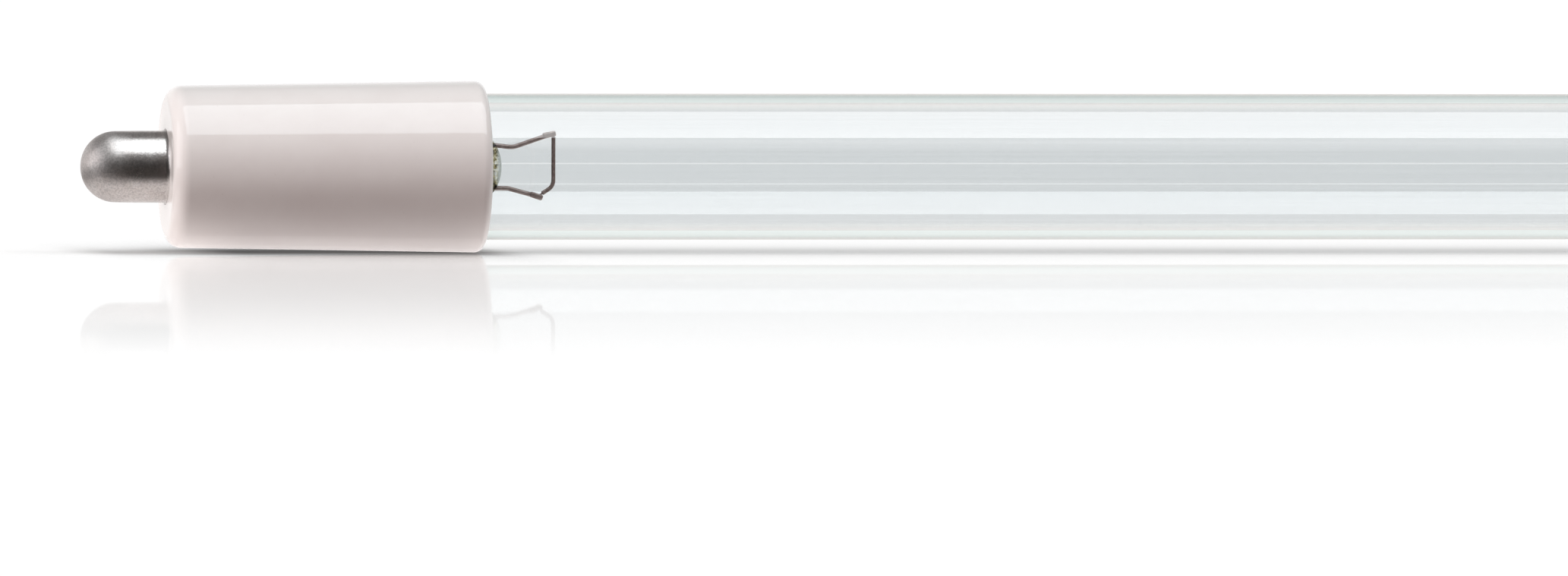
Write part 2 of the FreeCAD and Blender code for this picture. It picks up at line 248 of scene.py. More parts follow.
work = bmesh.new()
bmesh.ops.create_grid(work, x_segments=8, y_segments=8, size=FLOOR_REACH)
floor_mesh = bpy.data.meshes.new("white_floor")
work.to_mesh(floor_mesh)
work.free()
floor = bpy.data.objects.new("white_floor", floor_mesh)
floor.location = (0, 0, floor_z)
scene.collection.objects.link(floor)

acrylic, tree = new_material("polished_white_acrylic")
ray = add(tree, "ShaderNodeLightPath")
place = add(tree, "ShaderNodeTexCoord")
spot = add(tree, "ShaderNodeSeparateXYZ", {0: place.outputs["Object"]})
# Painted dark cards: the sheet's colour turns dark in front of the lamp and past its ends
painted_front_card = add(tree, "ShaderNodeMapRange", {
    "Value": spot.outputs["Y"], "From Min": CARD_DARK, "From Max": CARD_WHITE,
    "To Min": 1, "To Max": 0,
})
along = add(tree, "ShaderNodeMath", {0: spot.outputs["X"]}, operation="ABSOLUTE")
end_of_card = add(tree, "ShaderNodeMapRange", {
    "Value": spot.outputs["Y"], "From Min": END_CARD_REAR, "From Max": END_CARD_GONE,
    "To Min": 1, "To Max": 0,
})
painted_end_card = add(tree, "ShaderNodeMapRange", {
    "Value": along.outputs[0], "From Min": END_CARD_FROM, "From Max": END_CARD_FULL,
    "To Max": end_of_card.outputs[0],
})
painted_dark_cards = add(tree, "ShaderNodeMath", {
    0: painted_front_card.outputs[0], 1: painted_end_card.outputs[0],
}, operation="MAXIMUM")
unseen_colour = add(tree, "ShaderNodeMix", {
    "Factor": painted_dark_cards.outputs[0], 6: (SHEET_WHITE,) * 3 + (1,), 7: colour("#3A3735"),
}, data_type="RGBA")
# The camera sees the sheet white, every other ray sees the painted dark cards
sheet_colour = add(tree, "ShaderNodeMix", {
    "Factor": ray.outputs["Is Camera Ray"],
    6: unseen_colour.outputs[2], 7: (SHEET_WHITE,) * 3 + (1,),
}, data_type="RGBA")
# Painted shadow: the sheet's colour darkens by the open sky above each spot, raised to a power
hidden = add(tree, "ShaderNodeAmbientOcclusion", {"Distance": SKY_REACH}, samples=16)
shade = add(tree, "ShaderNodeMath", {
    0: hidden.outputs["AO"], 1: SHADE_POWER,
}, operation="POWER")
# The depth of the painted shadow, set by place along the lamp for tube, cap and pin
end_part = add(tree, "ShaderNodeMapRange", {
    "Value": along.outputs[0], "From Min": SHADE_FROM * MM, "From Max": SHADE_TO * MM,
})
depth = add(tree, "ShaderNodeValToRGB", {"Fac": end_part.outputs[0]})
depth.color_ramp.elements[0].position = 0
depth.color_ramp.elements[0].color = (SHADE_TUBE,) * 3 + (1,)
depth.color_ramp.elements[1].position = 1
depth.color_ramp.elements[1].color = (SHADE_BEYOND,) * 3 + (1,)
for where, amount in (
    (129, SHADE_TUBE), (137, SHADE_CAP), (160, SHADE_CAP), (174, SHADE_PIN), (181, SHADE_TIP),
):
    place_in_ramp = (where - SHADE_FROM) / (SHADE_TO - SHADE_FROM)
    depth.color_ramp.elements.new(place_in_ramp).color = (amount,) * 3 + (1,)
depth.color_ramp.interpolation = "EASE"
aside = add(tree, "ShaderNodeMath", {0: spot.outputs["Y"]}, operation="ABSOLUTE")
close_by = add(tree, "ShaderNodeMapRange", {
    "Value": aside.outputs[0], "From Min": SHADE_FULL_TO, "From Max": SHADE_WEAK_FROM,
    "To Min": 1, "To Max": SHADE_WEAK,
}, interpolation_type="SMOOTHSTEP")
near_depth = add(tree, "ShaderNodeMath", {
    0: depth.outputs[0], 1: close_by.outputs[0],
}, operation="MULTIPLY")
seen_depth = add(tree, "ShaderNodeMath", {
    0: ray.outputs["Is Glossy Ray"], 1: -SHADE_OFF_IN_MIRRORS, 2: near_depth.outputs[0],
}, operation="MULTIPLY_ADD", use_clamp=True)
# The painted shadow, weaker in mirrors, multiplies the sheet's colour
painted_sky_shadow = add(tree, "ShaderNodeMix", {
    "Factor": seen_depth.outputs[0], 2: 1.0, 3: shade.outputs[0],
})
shaded = add(tree, "ShaderNodeMix", {
    "Factor": 1, 6: sheet_colour.outputs[2], 7: painted_sky_shadow.outputs[0],
}, data_type="RGBA", blend_type="MULTIPLY")
matt = add(tree, "ShaderNodeBsdfDiffuse", {"Color": shaded.outputs[2]})
mirror = add(tree, "ShaderNodeBsdfAnisotropic", {
    "Color": (1, 1, 1, 1), "Roughness": 0.015,
})
fading = add(tree, "ShaderNodeMapRange", {
    "Value": spot.outputs["Y"], "From Min": POLISH_FAR, "From Max": POLISH_FULL_TO,
    "To Min": 0, "To Max": POLISH_FULL,
})
ends = add(tree, "ShaderNodeMapRange", {
    "Value": spot.outputs["Y"], "From Min": POLISH_FULL_FROM, "From Max": POLISH_NEAR,
    "To Min": 1, "To Max": 0,
})
facing = add(tree, "ShaderNodeLayerWeight", {"Blend": 0.5})
flat_angle = add(tree, "ShaderNodeMapRange", {
    "Value": facing.outputs["Facing"], "From Min": FLAT_FROM, "From Max": FLAT_FULL,
    "To Max": FLAT_SHARE,
})
polish = add(tree, "ShaderNodeMath", {
    0: fading.outputs[0], 1: ends.outputs[0],
}, operation="MULTIPLY")
share = add(tree, "ShaderNodeMath", {
    0: polish.outputs[0], 1: flat_angle.outputs[0],
}, operation="MULTIPLY")
sheet = add(tree, "ShaderNodeMixShader", {
    0: share.outputs[0], 1: matt.outputs[0], 2: mirror.outputs[0],
})
surface(tree, sheet.outputs[0])
floor_mesh.materials.append(acrylic)
print("the floor lies at", round(floor_z / MM, 3), "mm")

# %% [markdown]
# ## Light
#
# The glaze shows what lit it. Its white band runs from 23 to 49 degrees up the round cap,
# so the soft box above stands from 47 to 98 degrees up, because a mirror doubles the angle.
# It is a little brighter along its front edge. The soft shades on the cap tell of wide
# lights that it doesn't mirror: a warm fill low in front, a bright ceiling above the camera,
# a light table below, which makes the underside pale, and a fill beyond the lamp's end. The
# pale dome of the pin and the bright line on the cap's edge say that one more box stood at
# the left. No lamp's colour is far from white.

# %% Lamps for the object
BOX_AIM = Vector((50, 0, 0)) * MM


def soft_box(name, angle, reach, size, radiance, turn=0.0):
    """A soft box aimed at the lamp, at that angle up from the front, turned round by turn"""
    data = bpy.data.lights.new(name, "AREA")
    data.shape = "RECTANGLE"
    data.size, data.size_y = size
    data.energy = radiance * pi * size[0] * size[1]
    box = bpy.data.objects.new(name, data)
    up = radians(angle)
    away = Vector((sin(turn) * cos(up), -cos(turn) * cos(up), sin(up)))
    box.location = BOX_AIM + reach * away
    box.rotation_euler = (-away).to_track_quat("-Z", "Y").to_euler()
    box.visible_camera = False
    scene.collection.objects.link(box)
    return box


def graded(box, front, rear):
    """Lets a soft box shine differently along its front and its rear edge"""
    box.data.use_nodes = True
    tree = box.data.node_tree
    tree.nodes.clear()
    across = add(tree, "ShaderNodeNewGeometry")
    place = add(tree, "ShaderNodeSeparateXYZ", {0: across.outputs["Parametric"]})
    grade = add(tree, "ShaderNodeMapRange", {
        "Value": place.outputs["Y"], "To Min": front, "To Max": rear,
    })
    glow = add(tree, "ShaderNodeEmission", {"Strength": grade.outputs[0]})
    add(tree, "ShaderNodeOutputLight", {"Surface": glow.outputs[0]})


BOX_FROM, BOX_TO = 47, 98
half_box = radians(BOX_TO - BOX_FROM) / 2
key = soft_box(
    "box_above", (BOX_FROM + BOX_TO) / 2, cos(half_box), (1.0, 2 * sin(half_box)), 2.9
)
key.data.color = (0.87, 0.96, 1.0)
graded(key, 1.10, 0.85)
fill = soft_box("box_in_front", -5, 2.7, (1.0, 1.0), 6.6, turn=AZIMUTH)
fill.data.color = (1.0, 0.87, 0.86)
ceiling = soft_box("bright_ceiling", 65, 2.7, (1.0, 1.0), 6.0, turn=AZIMUTH)
table = soft_box("light_table", -125, 0.35, (0.8, 0.3), 4.9)
table.data.color = (0.97, 0.98, 1.0)
left = soft_box("box_at_left", 14, 0.75, (0.45, 0.40), 1.7, turn=radians(-84))
left.data.color = (0.93, 0.96, 1.0)
end_fill = soft_box("box_beyond_the_end", -2, 2.0, (1.0, 1.0), 6.0, turn=radians(-89))
end_fill.data.color = (1.0, 0.96, 0.95)
for unseen in (fill, ceiling, table, end_fill):
    unseen.visible_glossy = False
    unseen.visible_transmission = False
print("soft box of", [round(v, 2) for v in (key.data.size, key.data.size_y)], "m")

# %% [markdown]
# The sheet gets a lamp that reaches nothing else, and the soft boxes above don't reach it.
# It is a far lamp straight above, because that lights a floor evenly. It throws no shadow,
# since the shadow painted into the sheet's colour stands for it, and its strength makes the
# open sheet white.

# %% A lamp for the floor
floor_only = bpy.data.collections.new("floor_only")
floor_only.objects.link(floor)
all_but_floor = bpy.data.collections.new("all_but_floor")
all_but_floor.objects.link(floor)
all_but_floor.collection_objects[0].light_linking.link_state = "EXCLUDE"
for box in (key, fill, ceiling, table, left, end_fill):
    box.light_linking.receiver_collection = all_but_floor

WHITE_SHARE = 0.97
sun_data = bpy.data.lights.new("floor_lamp", "SUN")
sun_data.angle = radians(120)
sun_data.energy = WHITE_SHARE * pi / SHEET_WHITE
sun_data.use_shadow = False
sun = bpy.data.objects.new("floor_lamp", sun_data)
sun.light_linking.receiver_collection = floor_only
sun.visible_glossy = False
scene.collection.objects.link(sun)
floor.visible_shadow = False
print("the floor's lamp has a strength of", round(sun_data.energy, 2))

# %% [markdown]
# ## Turned shapes
#
# The tube and the pins are round about the lamp's axis, which is the X axis. The quickest
# honest way to such a shape is a lathe: draw half of its outline, and spin it. An outline is
# a list of corners, each with the radius that rounds it.

# %% A small lathe
def rounded_outline(corners, step=0.12):
    """Points along a closed outline of (x, r, round) in mm. step is an arc's angle"""
    points = []
    count = len(corners)
    for i, (x, r, size) in enumerate(corners):
        corner = Vector((x, r))
        if size == 0:
            points.append(corner)
            continue
        before = (Vector(corners[i - 1][:2]) - corner).normalized()
        after = (Vector(corners[(i + 1) % count][:2]) - corner).normalized()
        half = acos(max(-1, min(1, before.dot(after)))) / 2
        middle = corner + (before + after).normalized() * (size / sin(half))
        start = corner + before * (size / tan(half)) - middle
        end = corner + after * (size / tan(half)) - middle
        sweep_angle = start.angle_signed(end)
        steps = max(3, int(abs(sweep_angle) / step) + 1)
        for k in range(steps + 1):
            turn = -sweep_angle * k / steps
            points.append(middle + Matrix.Rotation(turn, 2) @ start)
    return points


def spin(name, outline, around, material_of=None, flip=False):
    """Spins a closed outline, in mm, about the X axis into one smooth mesh"""
    work = bmesh.new()
    side = -1 if flip else 1
    rings = []
    for x, r in outline:
        if r < 1e-6:
            rings.append([work.verts.new((side * x * MM, 0, 0))])
            continue
        rings.append([
            work.verts.new((
                side * x * MM,
                -r * MM * cos(2 * pi * k / around),
                r * MM * sin(2 * pi * k / around),
            ))
            for k in range(around)
        ])
    count = len(rings)
    for i, ring in enumerate(rings):
        following = rings[(i + 1) % count]
        if len(ring) == 1 and len(following) == 1:
            continue
        for k in range(around):
            one, two = ring[k % len(ring)], ring[(k + 1) % len(ring)]
            three, four = following[(k + 1) % len(following)], following[k % len(following)]
            corners = list(dict.fromkeys((one, two, three, four)))
            face = work.faces.new(corners)
            face.material_index = material_of(i) if material_of else 0
            face.smooth = True
    bmesh.ops.recalc_face_normals(work, faces=work.faces)
    mesh = bpy.data.meshes.new(name)
    work.to_mesh(mesh)
    work.free()
    mesh.set_sharp_from_angle(angle=radians(35))
    piece = bpy.data.objects.new(name, mesh)
    scene.collection.objects.link(piece)
    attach(piece, "root")
    print(name, "has", len(mesh.polygons), "faces")
    return piece


# %% [markdown]
# ## Glass tube
#
# The envelope is drawn glass, 16 mm across with a wall of 1 mm. Its ends roll in and are
# fused to the stems inside the caps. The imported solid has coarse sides, which mirrors and
# highlights would show, so the tube is spun again with 192 sides. Outside and bore get
# materials of their own, because each side of the wall mirrors the room for itself.

# %% Glass tube
_, tube_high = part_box("glass_tube")
TUBE_END = tube_high.x / MM
TUBE_R, WALL, SHOULDER = tube_high.z / MM, 1.0, 2.5
FLARE_R = 5.3
BORE_R, BORE_END = TUBE_R - WALL, TUBE_END - WALL

tube_corners = [
    (-TUBE_END, FLARE_R, 0),
    (-TUBE_END, TUBE_R, SHOULDER),
    (TUBE_END, TUBE_R, SHOULDER),
    (TUBE_END, FLARE_R, 0),
    (BORE_END, FLARE_R, 0),
    (BORE_END, BORE_R, SHOULDER - WALL),
    (-BORE_END, BORE_R, SHOULDER - WALL),
    (-BORE_END, FLARE_R, 0),
]
tube_outline = rounded_outline(tube_corners)
middle = len(tube_outline) // 2
tube = spin(
    "clear_tube", tube_outline, 192,
    material_of=lambda i: 0 if i < middle else 1,
)
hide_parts("glass_tube")
print("tube", round(2 * TUBE_END, 2), "mm long,", round(2 * TUBE_R, 2), "mm across")

# %% [markdown]
# Clear glass shows what is behind it, a little darker and bluer, and mirrors a few per cent
# of the room on top. A wall this thin hardly bends what is seen through it, so a tinted
# see-through shader and a sharp mirror tell most of the story, with no noise. Seen flat along
# the wall the way through the glass is longer, and the tint deepens into the edge's line.
# The light and shade that the wall does bend are painted into the tint by angle: a clear
# bright band part way out, and darker lines towards the edges.
# Drawing leaves faint streaks along the tube, and two fine ridges on its front. Each ridge
# is painted as a bright line of clear glass without tint or mirror, a painted highlight for
# the light it bends.

# %% Clear glass
def glass_wall(name, tints, mirror, lines, ridges=()):
    """Thin clear glass. Tints and mirror shares go from face on, 0, to edge on, 1"""
    material, tree = new_material(name)
    facing = add(tree, "ShaderNodeLayerWeight", {"Blend": 0.5})
    # The tint by angle holds painted light and shade: a clear bright band, darker edge lines
    ramp = add(tree, "ShaderNodeValToRGB", {"Fac": facing.outputs["Facing"]})
    ramp.color_ramp.elements[0].position = tints[0][0]
    ramp.color_ramp.elements[0].color = colour(tints[0][1])
    ramp.color_ramp.elements[1].position = tints[-1][0]
    ramp.color_ramp.elements[1].color = colour(tints[-1][1])
    for where, tint in tints[1:-1]:
        ramp.color_ramp.elements.new(where).color = colour(tint)
    place = add(tree, "ShaderNodeTexCoord")
    along = add(tree, "ShaderNodeMapping", {
        "Vector": place.outputs["Object"], "Scale": (per_mm(90), per_mm(0.35), per_mm(0.35)),
    })
    draw_lines = add(tree, "ShaderNodeTexNoise", {
        "Vector": along.outputs[0], "Scale": 1, "Detail": 2, "Roughness": 0.6,
    })
    streaks = add(tree, "ShaderNodeMapRange", {
        "Value": draw_lines.outputs[0], "From Min": 0.35, "From Max": 0.65,
        "To Min": 1 - lines, "To Max": 1,
    })
    tinted = add(tree, "ShaderNodeMix", {
        "Factor": 1, 6: ramp.outputs[0], 7: streaks.outputs[0],
    }, data_type="RGBA", blend_type="MULTIPLY")
    # Painted highlight lines at the two ridges: the glass turns clear there and loses its mirror
    ridge_painted_light = 0.0
    for height, clarity in ridges:
        spot = add(tree, "ShaderNodeSeparateXYZ", {0: place.outputs["Object"]})
        off = add(tree, "ShaderNodeMath", {
            0: spot.outputs["Z"], 1: height * MM, 2: RIDGE_HALF,
        }, operation="COMPARE")
        in_front = add(tree, "ShaderNodeMath", {
            0: spot.outputs["Y"], 1: 0,
        }, operation="LESS_THAN")
        here = add(tree, "ShaderNodeMath", {
            0: off.outputs[0], 1: in_front.outputs[0],
        }, operation="MULTIPLY")
        ridge_painted_light = add(tree, "ShaderNodeMath", {
            0: here.outputs[0], 1: clarity, 2: ridge_painted_light,
        }, operation="MULTIPLY_ADD").outputs[0]
    tint_with_painted_ridge_lines = add(tree, "ShaderNodeMix", {
        "Factor": ridge_painted_light, 6: tinted.outputs[2], 7: (1, 1, 1, 1),
    }, data_type="RGBA")
    through = add(tree, "ShaderNodeBsdfTransparent", {"Color": tint_with_painted_ridge_lines.outputs[2]})
    sharp = add(tree, "ShaderNodeBsdfAnisotropic", {
        "Color": colour("#FFF4F0"), "Roughness": 0.01,
    })
    shine = add(tree, "ShaderNodeValToRGB", {"Fac": facing.outputs["Facing"]})
    shine.color_ramp.elements[0].position = mirror[0][0]
    shine.color_ramp.elements[0].color = (mirror[0][1],) * 3 + (1,)
    shine.color_ramp.elements[1].position = mirror[-1][0]
    shine.color_ramp.elements[1].color = (mirror[-1][1],) * 3 + (1,)
    for where, amount in mirror[1:-1]:
        shine.color_ramp.elements.new(where).color = (amount,) * 3 + (1,)
    side = add(tree, "ShaderNodeNewGeometry")
    amount = add(tree, "ShaderNodeMath", {
        0: shine.outputs[0], 1: side.outputs["Backfacing"],
    }, operation="SUBTRACT", use_clamp=True)
    less = add(tree, "ShaderNodeMath", {
        0: amount.outputs[0], 1: ridge_painted_light,
    }, operation="SUBTRACT", use_clamp=True)
    wall = add(tree, "ShaderNodeMixShader", {
        0: less.outputs[0], 1: through.outputs[0], 2: sharp.outputs[0],
    })
    ray = add(tree, "ShaderNodeLightPath")
    to_lamps = add(tree, "ShaderNodeBsdfTransparent", {"Color": colour("#F6F8F8")})
    either = add(tree, "ShaderNodeMixShader", {
        0: ray.outputs["Is Shadow Ray"], 1: wall.outputs[0], 2: to_lamps.outputs[0],
    })
    surface(tree, either.outputs[0])
    return material


OUTER_MIRROR = [
    (0.0, 0.075), (0.35, 0.085), (0.45, 0.09), (0.55, 0.13), (0.65, 0.22), (0.8, 0.36), (1.0, 0.55),
]
BORE_MIRROR = [
    (0.0, 0.105), (0.35, 0.12), (0.45, 0.14), (0.55, 0.18), (0.65, 0.22), (0.8, 0.28), (1.0, 0.4),
]
RIDGE_HALF = 0.08 * MM
# Heights and strengths of the painted bright ridge lines
RIDGES = [(0.48, 1.0), (-1.76, 0.6)]
# Outer tints: the clear white near 0.5 is a painted bright band, the darker ones painted edge shade
tube.data.materials.append(glass_wall("drawn_glass_outside", [
    (0.0, "#F3F5F6"), (0.36, "#F3F5F6"), (0.41, "#F8FAFA"), (0.45, "#FDFEFE"), (0.50, "#FFFFFF"),
    (0.54, "#F3F8F7"), (0.63, "#F2F7F6"), (0.70, "#E9F0EF"), (0.77, "#E2E7E6"), (0.88, "#DDE2E1"),
    (1.0, "#E8ECEB"),
], OUTER_MIRROR, 0.02, RIDGES))
tube.data.materials.append(glass_wall("drawn_glass_bore", [
    (0.0, "#FBFCFC"), (0.6, "#FBFCFC"), (1.0, "#F4F6F6"),
], BORE_MIRROR, 0.01))

# %% [markdown]
# ## Contact pins
#
# A pin is a thimble drawn from sheet. Read off the photograph, its dome is a little smaller
# than the straight part, which grows by a tenth of a millimetre over the first six from the
# tip, as drawn shells do, and spreads again where it enters the ceramic. The inside, the
# flange behind the cap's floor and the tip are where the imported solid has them.

# %% Contact pins
PIN_STANDOUT, CAP_FLOOR_THICK, CAP_LENGTH = 9.3, 4.0, 35.0
PIN_TIP = cad_high.x / MM
CAP_FACE = PIN_TIP - PIN_STANDOUT
CAP_FLOOR = CAP_FACE - CAP_FLOOR_THICK
DOME_R, PIN_R, SEAT_R, FLANGE_R, INSIDE_R = 3.82, 3.93, 4.12, 5.6, 3.51
SHEET = 0.45

pin_corners = [
    (PIN_TIP, 0, 0),
    (PIN_TIP, DOME_R, DOME_R - 0.02),
    (PIN_TIP - 6.0, PIN_R, 0),
    (CAP_FACE + 0.45, PIN_R, 0),
    (CAP_FACE + 0.18, PIN_R + 0.05, 0),
    (CAP_FACE, SEAT_R, 0),
    (CAP_FLOOR, SEAT_R, 0),
    (CAP_FLOOR, FLANGE_R, 0),
    (CAP_FLOOR - SHEET, FLANGE_R, 0.2),
    (CAP_FLOOR - SHEET, INSIDE_R, SHEET),
    (PIN_TIP - SHEET, INSIDE_R, INSIDE_R - 0.1),
    (PIN_TIP - SHEET, 0, 0),
]
pin_outline = rounded_outline(pin_corners, step=0.06)
pins = []
for end, flip in (("left", True), ("right", False)):
    pin = spin(end + "_domed_pin", pin_outline, 128, flip=flip)
    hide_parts(end + "_contact_pin")
    pins.append(pin)

# %% [markdown]
# ## Cathodes
#
# A cathode is a close coil of tungsten, dipped in a paste of oxides that fills the gaps
# between its turns. From outside it looks like a rod with a shallow thread. So this one is
# a rod along the coil's centre line, down from the upper clamp, round a bend and back to
# the lower clamp, and a wave that winds round it once for each turn stands for the wire.
# The bare tails of the wire at both ends go into the clamps.

# %% Cathodes
COIL_X, COIL_TOP, COIL_CORNER = 126.42, 3.26, -2.13
COIL_FOOT_X, COIL_FOOT_Z = 127.69, -2.95
COIL_BEND, COIL_R, THREAD, TURN, TAIL, BARE_R = 1.2, 0.225, 0.008, 0.215, 0.38, 0.09
ROUTE_STEP, COAT_END = 0.024, 0.06


def coil_route(step):
    """Points of the centre line, in mm, with the headings there: straight, bend, straight"""
    top, corner = Vector((COIL_X, COIL_TOP)), Vector((COIL_X, COIL_CORNER))
    foot = Vector((COIL_FOOT_X, COIL_FOOT_Z))
    down, leg = (corner - top).normalized(), (foot - corner).normalized()
    turn = down.angle(leg)
    reach = COIL_BEND * tan(turn / 2)
    first = (corner - top).length - reach
    arc = COIL_BEND * turn
    last = (foot - corner).length - reach
    total = first + arc + last
    swing = -1 if down.angle_signed(leg) > 0 else 1
    places = []
    for k in range(int((total + 2 * TAIL) / step) + 1):
        s = k * step - TAIL
        if s < first:
            point, heading = top + down * s, down
        elif s < first + arc:
            bent = (s - first) / COIL_BEND
            heading = Matrix.Rotation(swing * bent, 2) @ down
            middle = top + down * first + Matrix.Rotation(swing * pi / 2, 2) @ down * COIL_BEND
            point = middle - Matrix.Rotation(swing * pi / 2, 2) @ heading * COIL_BEND
        else:
            point, heading = corner + leg * (reach + s - first - arc), leg
        places.append((s, total, point, heading))
    return places


def coated_coil(name, side):
    """The rod with its thread, at the +X end for side 1 and at the -X end for side -1"""
    work = bmesh.new()
    around = 20
    rings = []
    for s, total, point, heading in coil_route(ROUTE_STEP):
        inside = min(s, total - s)
        full = max(0, min(1, inside / COAT_END))
        ring = []
        for k in range(around):
            angle = 2 * pi * k / around
            wave = THREAD * cos(2 * pi * s / TURN - angle)
            r = BARE_R + (COIL_R + wave - BARE_R) * full
            out = Vector((-heading.y, heading.x)) * (r * cos(angle))
            ring.append(work.verts.new((
                side * (point.x + out.x) * MM, r * sin(angle) * MM, (point.y + out.y) * MM,
            )))
        rings.append(ring)
    for ring, following in zip(rings, rings[1:]):
        for k in range(around):
            face = work.faces.new((
                ring[k], ring[(k + 1) % around], following[(k + 1) % around], following[k],
            ))
            face.smooth = True
    work.faces.new(rings[0])
    work.faces.new(rings[-1])
    bmesh.ops.recalc_face_normals(work, faces=work.faces)
    mesh = bpy.data.meshes.new(name)
    work.to_mesh(mesh)
    work.free()
    coil = bpy.data.objects.new(name, mesh)
    scene.collection.objects.link(coil)
    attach(coil, "root")
    print(name, "has", len(mesh.polygons), "faces")
    return coil


coils = []
for end, side in (("left", -1), ("right", 1)):
    coil = coated_coil(end + "_coated_coil", side)
    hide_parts(end + "_cathode_coil")
    coils.append(coil)

# %% [markdown]
# ## Stem glass
#
# The stem is a softer, lead bearing kind of glass, pinched flat round the wires while hot.
# The top of the press is a clear dome. Just below it the seal begins, where small blisters
# and the oxide of the wires show. The dome hardly bends what is seen through it, so it gets
# the see-through glass of the tube. Under the top a noise turns its tint dark, olive, golden
# and white: partly the oxide's own colour, partly painted glints of the blisters. Its edges
# are painted darker, a painted shade.

# %% Stem glass
PRESS_PROUD = 1.9
PRESS_TOP = CAP_FACE - CAP_LENGTH - PRESS_PROUD
stem_glass, tree = new_material("pinched_stem_glass")
place = add(tree, "ShaderNodeTexCoord")
spot = add(tree, "ShaderNodeSeparateXYZ", {0: place.outputs["Object"]})
out = add(tree, "ShaderNodeMath", {0: spot.outputs["X"]}, operation="ABSOLUTE")
below_top = add(tree, "ShaderNodeMapRange", {
    "Value": out.outputs[0],
    "From Min": (PRESS_TOP + 0.30) * MM, "From Max": (PRESS_TOP + 0.62) * MM,
})
blisters = add(tree, "ShaderNodeTexNoise", {
    "Vector": place.outputs["Object"], "Scale": per_mm(0.55), "Detail": 2, "Roughness": 0.6,
})
# Painted glints, partly the oxide's colour: the tint under the top turns dark, olive, golden, white
tone = add(tree, "ShaderNodeValToRGB", {"Fac": blisters.outputs[0]})
tone.color_ramp.elements[0].position, tone.color_ramp.elements[0].color = 0.38, colour("#2B2619")
tone.color_ramp.elements[1].position, tone.color_ramp.elements[1].color = 0.62, colour("#FFFFFF")
tone.color_ramp.elements.new(0.45).color = colour("#6E6238")
tone.color_ramp.elements.new(0.50).color = colour("#D9CC9A")
painted_glints = add(tree, "ShaderNodeMix", {
    "Factor": below_top.outputs[0], 6: colour("#F7F9F6"), 7: tone.outputs[0],
}, data_type="RGBA")
facing = add(tree, "ShaderNodeLayerWeight", {"Blend": 0.5})
# Painted shade: the tint darkens towards the stem glass's edges
painted_edge_shade = add(tree, "ShaderNodeMapRange", {
    "Value": facing.outputs["Facing"], "From Min": 0.75, "From Max": 1, "To Min": 1, "To Max": 0.6,
})
tinted = add(tree, "ShaderNodeMix", {
    "Factor": 1, 6: painted_glints.outputs[2], 7: painted_edge_shade.outputs[0],
}, data_type="RGBA", blend_type="MULTIPLY")
seen_through = add(tree, "ShaderNodeBsdfTransparent", {"Color": tinted.outputs[2]})
waves = add(tree, "ShaderNodeBump", {
    "Height": blisters.outputs[0], "Strength": 0.9, "Distance": 0.25 * MM,
})
shiny = add(tree, "ShaderNodeBsdfAnisotropic", {
    "Color": (1, 1, 1, 1), "Roughness": 0.05, "Normal": waves.outputs[0],
})
mirror_share = add(tree, "ShaderNodeMapRange", {
    "Value": facing.outputs["Facing"], "From Min": 0.4, "From Max": 1,
    "To Min": 0.10, "To Max": 0.6,
})
stem_mix = add(tree, "ShaderNodeMixShader", {
    0: mirror_share.outputs[0], 1: seen_through.outputs[0], 2: shiny.outputs[0],
})
surface(tree, stem_mix.outputs[0])
print("the press ends", round(PRESS_TOP, 2), "mm from the lamp's middle")

# %% [markdown]
# ## Glazed ceramic
#
# The caps are pressed steatite under a clear, warm white glaze. Glaze is glass, so it
# mirrors as sharply as the tube, and its face is never quite flat: it has the long, shallow
# waves of a liquid that set. Through it the fired body shows faint, cloudy mottling.

# %% Glazed ceramic
glaze, tree = new_material("glazed_steatite")
place = add(tree, "ShaderNodeTexCoord")
clouds = add(tree, "ShaderNodeTexNoise", {
    "Vector": place.outputs["Object"], "Scale": per_mm(5), "Detail": 4, "Roughness": 0.6,
})
body = add(tree, "ShaderNodeValToRGB", {"Fac": clouds.outputs[0]})
body.color_ramp.elements[0].position, body.color_ramp.elements[0].color = 0.3, colour("#E1D7D3")
body.color_ramp.elements[1].position, body.color_ramp.elements[1].color = 0.7, colour("#E5DCD8")
specks = add(tree, "ShaderNodeTexVoronoi", {
    "Vector": place.outputs["Object"], "Scale": per_mm(1.3),
})
speck_mask = add(tree, "ShaderNodeMapRange", {
    "Value": specks.outputs["Distance"], "From Min": 0.03, "From Max": 0.09,
    "To Min": 0.2, "To Max": 0,
})
speckled = add(tree, "ShaderNodeMix", {
    "Factor": speck_mask.outputs[0], 6: body.outputs[0], 7: colour("#C9BBB4"),
}, data_type="RGBA")
swell = add(tree, "ShaderNodeTexNoise", {
    "Vector": place.outputs["Object"], "Scale": per_mm(4), "Detail": 1,
})
skin = add(tree, "ShaderNodeBump", {
    "Height": swell.outputs[0], "Strength": 0.12, "Distance": 0.02 * MM,
})
fired = add(tree, "ShaderNodeBsdfPrincipled", {
    "Base Color": speckled.outputs[2], "Roughness": 0.06, "IOR": 1.5,
    "Normal": skin.outputs[0],
})
surface(tree, fired.outputs[0])
print("glaze ready")

# %% [markdown]
# ## Contact pin
#
# The pin is a thimble of brass, drawn from sheet and plated with nickel. Its side was
# turned bright, which leaves fine rings in its grain, and the dome is frosted by the drawing
# punch. So the roughness rises from the side to the dome, and the rings fade out there. The
# pits of the grain are darker than the rest, like pepper.

